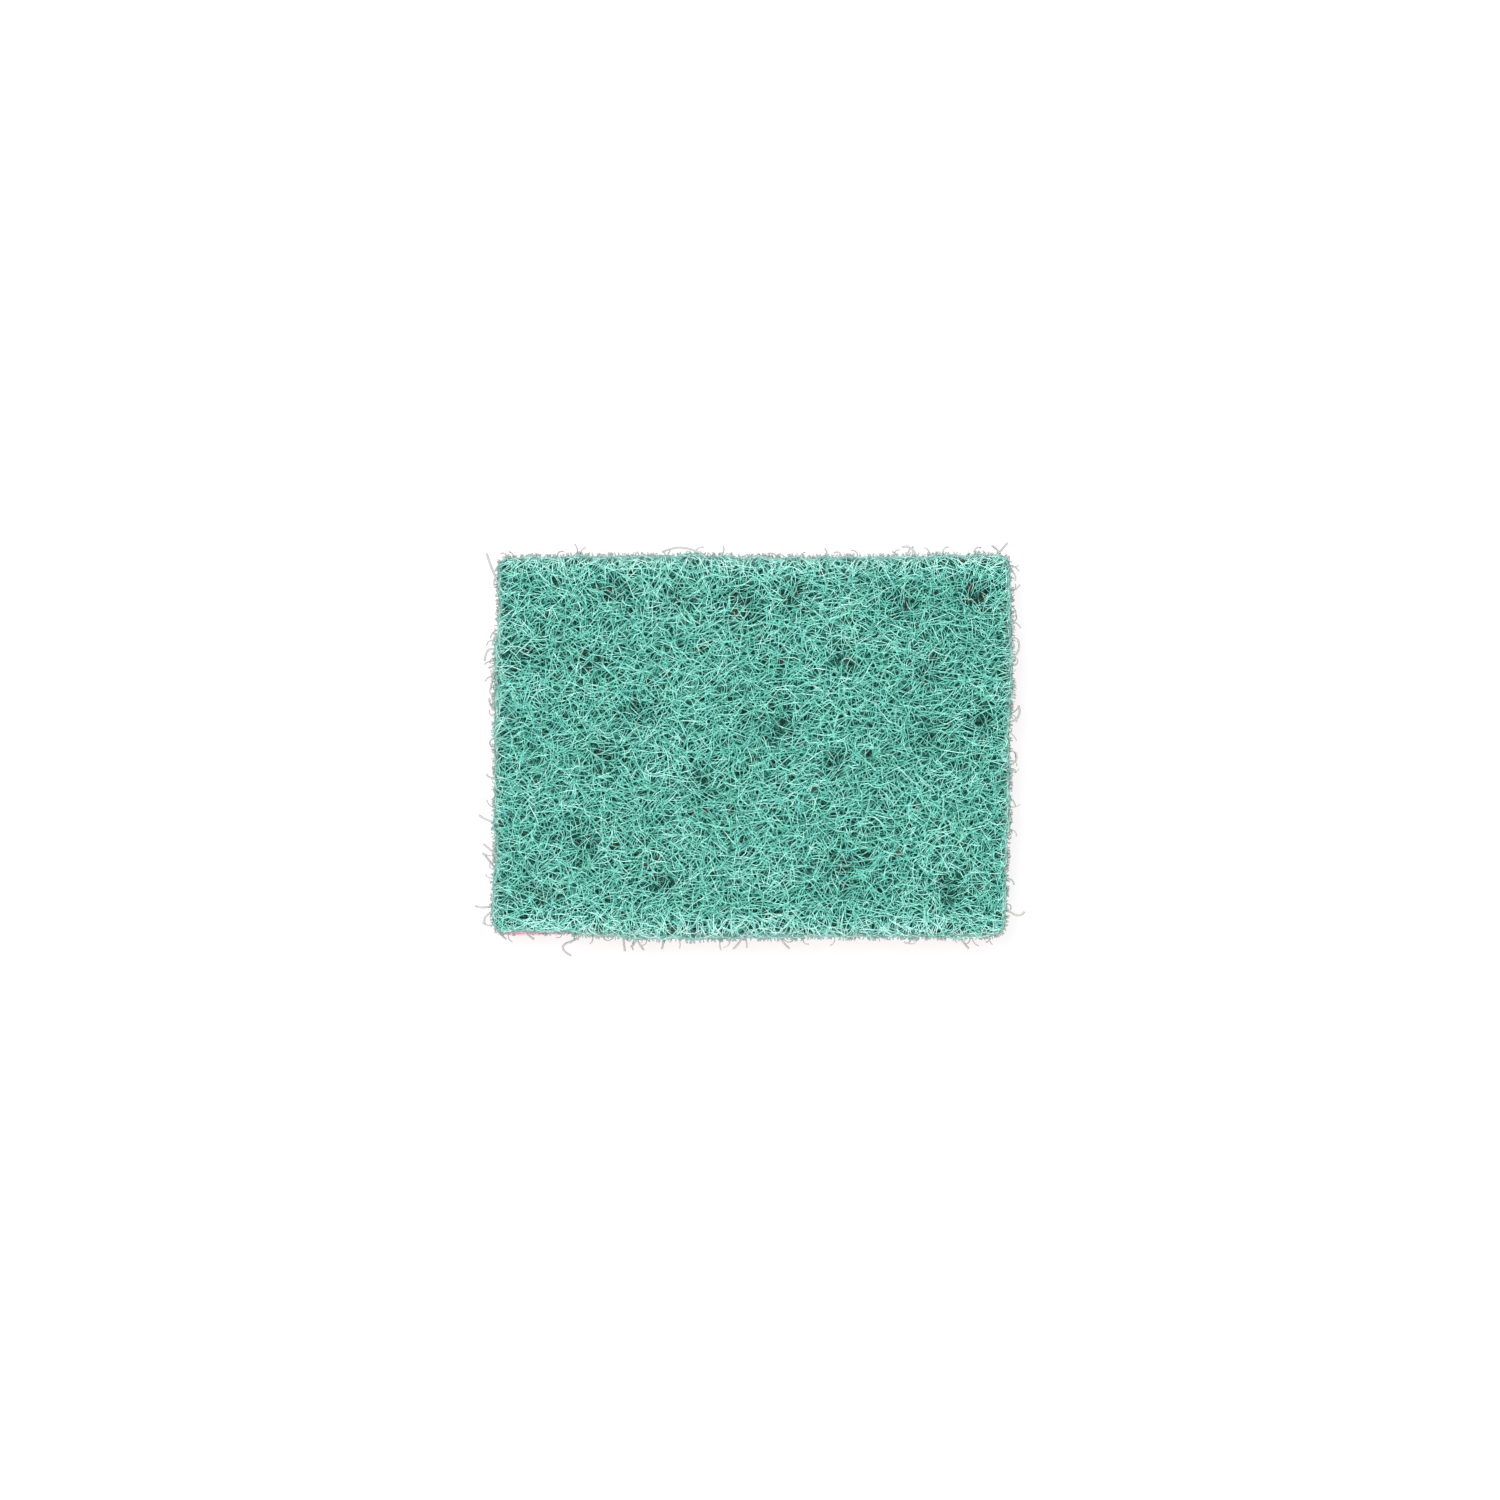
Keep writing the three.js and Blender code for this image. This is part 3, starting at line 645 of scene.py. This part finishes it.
def side_rows(count, steps, step, start, spread, curl, rng):
    """Rows of points that leave the pad's cut sides, with the upward normal for each point.

    Each starts inside the side by start, heads outward give or take the spread, and turns by the curl
    per step in the plane of the pad while it drifts a little up or down.
    """
    along = rng.uniform(0, 4 * (half_length + half_width), count)
    corners = np.array([[-1, -1], [1, -1], [1, 1], [-1, 1], [-1, -1]]) * [half_length, half_width]
    lengths = np.cumsum([0, 2 * half_length, 2 * half_width, 2 * half_length, 2 * half_width])
    roots = np.stack([np.interp(along, lengths, corners[:, k]) for k in range(2)], axis=1)
    side = np.searchsorted(lengths, along, side="right") - 1
    outward = np.array([-90, 0, 90, 180])[np.minimum(side, 3)]
    limit = np.array([half_length, half_width]) - CORNER
    held = np.clip(roots, -limit, limit)
    beyond = roots - held
    distance = np.linalg.norm(beyond, axis=1, keepdims=True)
    away = beyond / distance
    roots = held + away * (CORNER + proud(held, away)[:, None] - start)
    bend = rng.choice([-1, 1], count) * curl
    heading = np.radians(outward) + rng.normal(0, spread, count) - bend * steps * 0.45
    angle = heading[:, None] + bend[:, None] * np.arange(steps + 1)
    travel = np.stack([np.cos(angle), np.sin(angle)], axis=2) * step
    plan = roots[:, None] + np.cumsum(travel, axis=1) - travel[:, :1]
    level = foam_top + PAD_THICKNESS * rng.uniform(0.08, 0.8, count)
    height = level[:, None] + rng.normal(0, 0.25, count)[:, None] * step * np.arange(steps + 1)
    points = np.concatenate([plan, height[..., None]], axis=2)
    return points, np.broadcast_to([0.0, 0.0, 1.0], points.shape)


def bezier(places, steps):
    """Points of the smooth curve sum over k of C(n, k) * t^k * (1 - t)^(n - k) * place k."""
    t = np.linspace(0, 1, steps + 1)[:, None]
    n = len(places) - 1
    return sum(math.comb(n, k) * t**k * (1 - t) ** (n - k) * np.array(places[k]) for k in range(n + 1))


fringe_skin, skin, add, links = shader("fringe_skin", 0.6)
tone = add("ShaderNodeAttribute", attribute_name="tone")
fringe_colour = ramp(add, tone.outputs["Fac"], [(0.2, FRINGE_ROOT), (0.7, FRINGE_TIP)])
links.new(fringe_colour.outputs["Color"], skin.inputs["Base Color"])

rng = np.random.default_rng(211)
stub_bend = rng.normal(0, 0.3, STUBS)
loop_bend = rng.uniform(0.12, 0.42, LOOPS)
fringe = [
    ("fringe_stubs", side_rows(STUBS, STUB_STEPS, STUB_STEP, FRINGE_ROOTED, STUB_SPREAD, stub_bend, rng)),
    ("fringe_loops", side_rows(LOOPS, LOOP_STEPS, LOOP_STEP, LOOP_ROOTED, LOOP_SPREAD, loop_bend, rng)),
]
for name, (points, normals) in fringe:
    count = len(points)
    tones = np.tile(np.linspace(0, 1, points.shape[1]), (count, 1))
    radii = FRINGE_RADIUS * rng.uniform(0.8, 1.2, count)
    fringe_piece = tubes(name, points, normals, radii, {"tone": tones})
    fringe_piece.data.materials.append(fringe_skin)
    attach(fringe_piece, "root")

plans = np.array([bezier(places, STRAY_STEPS) for _, places in STRAYS]) * MM
levels = foam_top + PAD_THICKNESS * np.array([share for share, _ in STRAYS])
heights = np.broadcast_to(levels[:, None, None], (*plans.shape[:2], 1))
stray_points = np.concatenate([plans, heights], axis=2)
stray_normals = np.broadcast_to([0.0, 0.0, 1.0], stray_points.shape)
strays = tubes(
    "strays",
    stray_points,
    stray_normals,
    np.full(len(STRAYS), STRAY_RADIUS),
    {"tone": np.tile(np.linspace(1, 0.5, STRAY_STEPS + 1), (len(STRAYS), 1))},
)
strays.data.materials.append(fringe_skin)
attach(strays, "root")

# Studio: a pale floor, a white surround, and soft lamps above and along the two long sides.

VIEW_PIXELS = 1500
PIXELS_PER_MM = 5.39  # at the pad's face
OBJECT_PIXEL = (752.5, 746)  # where the photograph has the middle of the pad
CAMERA_HEIGHT = 0.9  # above the pad's face

lens = bpy.data.cameras.new("camera")
lens.sensor_width = 36
lens.lens = lens.sensor_width * CAMERA_HEIGHT / (VIEW_PIXELS / PIXELS_PER_MM * MM)
camera = bpy.data.objects.new("camera", lens)
camera.location = (
    (VIEW_PIXELS / 2 - OBJECT_PIXEL[0]) / PIXELS_PER_MM * MM,
    (OBJECT_PIXEL[1] - VIEW_PIXELS / 2) / PIXELS_PER_MM * MM,
    pad_top + CAMERA_HEIGHT,
)
bpy.context.scene.collection.objects.link(camera)
bpy.context.scene.camera = camera


def lamp(name, place, size, power):
    """A soft rectangular lamp at a place, turned towards the sponge."""
    light = bpy.data.lights.new(name, "AREA")
    light.shape = "RECTANGLE"
    light.size, light.size_y = size
    light.energy = power
    piece = bpy.data.objects.new(name, light)
    piece.location = place
    to_sponge = -piece.location.normalized()
    piece.rotation_euler = to_sponge.to_track_quat("-Z", "Y").to_euler()
    bpy.context.scene.collection.objects.link(piece)


lamp("top_lamp", (-0.1, 0.1, 1.3), (0.22, 0.22), 18.5)
lamp("back_lamp", (0, 1.0, 0.45), (1.2, 0.3), 11)
lamp("front_lamp", (0, -1.0, 0.45), (1.2, 0.3), 11)

FLOOR_GAP = 0.05 * MM  # keeps the floor clear of the foam's sole
FLOOR_REACH = 3
floor_mesh = bpy.data.meshes.new("floor")
floor_corners = [
    (FLOOR_REACH * x, FLOOR_REACH * y, -FLOOR_GAP) for x, y in ((-1, -1), (1, -1), (1, 1), (-1, 1))
]
floor_mesh.from_pydata(floor_corners, [], [(0, 1, 2, 3)])
floor = bpy.data.objects.new("floor", floor_mesh)
bpy.context.scene.collection.objects.link(floor)
floor_skin, skin, add, links = shader("floor_skin", 0.9)
skin.inputs["Base Color"].default_value = (0.14, 0.14, 0.14, 1)
skin.inputs["Specular IOR Level"].default_value = 0
rays = add("ShaderNodeLightPath")
seen = add(
    "ShaderNodeMath",
    [(rays.outputs["Is Camera Ray"], 0), (rays.outputs["Is Glossy Ray"], 1)],
    operation="MAXIMUM",
)
glow = add("ShaderNodeMath", [(seen.outputs[0], 0)], operation="MULTIPLY")
glow.inputs[1].default_value = 0.79
skin.inputs["Emission Color"].default_value = (1, 1, 1, 1)
links.new(glow.outputs[0], skin.inputs["Emission Strength"])
floor.data.materials.append(floor_skin)

world = bpy.data.worlds.new("surround")
world.use_nodes = True
sky = world.node_tree.nodes["Background"]
rays = world.node_tree.nodes.new("ShaderNodeLightPath")
seen = world.node_tree.nodes.new("ShaderNodeMath")
seen.operation = "MAXIMUM"
strength = world.node_tree.nodes.new("ShaderNodeMapRange")
strength.inputs["To Min"].default_value = 0.5
strength.inputs["To Max"].default_value = 1.0
world.node_tree.links.new(rays.outputs["Is Camera Ray"], seen.inputs[0])
world.node_tree.links.new(rays.outputs["Is Transmission Ray"], seen.inputs[1])
world.node_tree.links.new(seen.outputs[0], strength.inputs["Value"])
world.node_tree.links.new(strength.outputs["Result"], sky.inputs["Strength"])
sky.inputs["Color"].default_value = (1, 1, 1, 1)
bpy.context.scene.world = world
bpy.context.scene.view_settings.view_transform = "Standard"
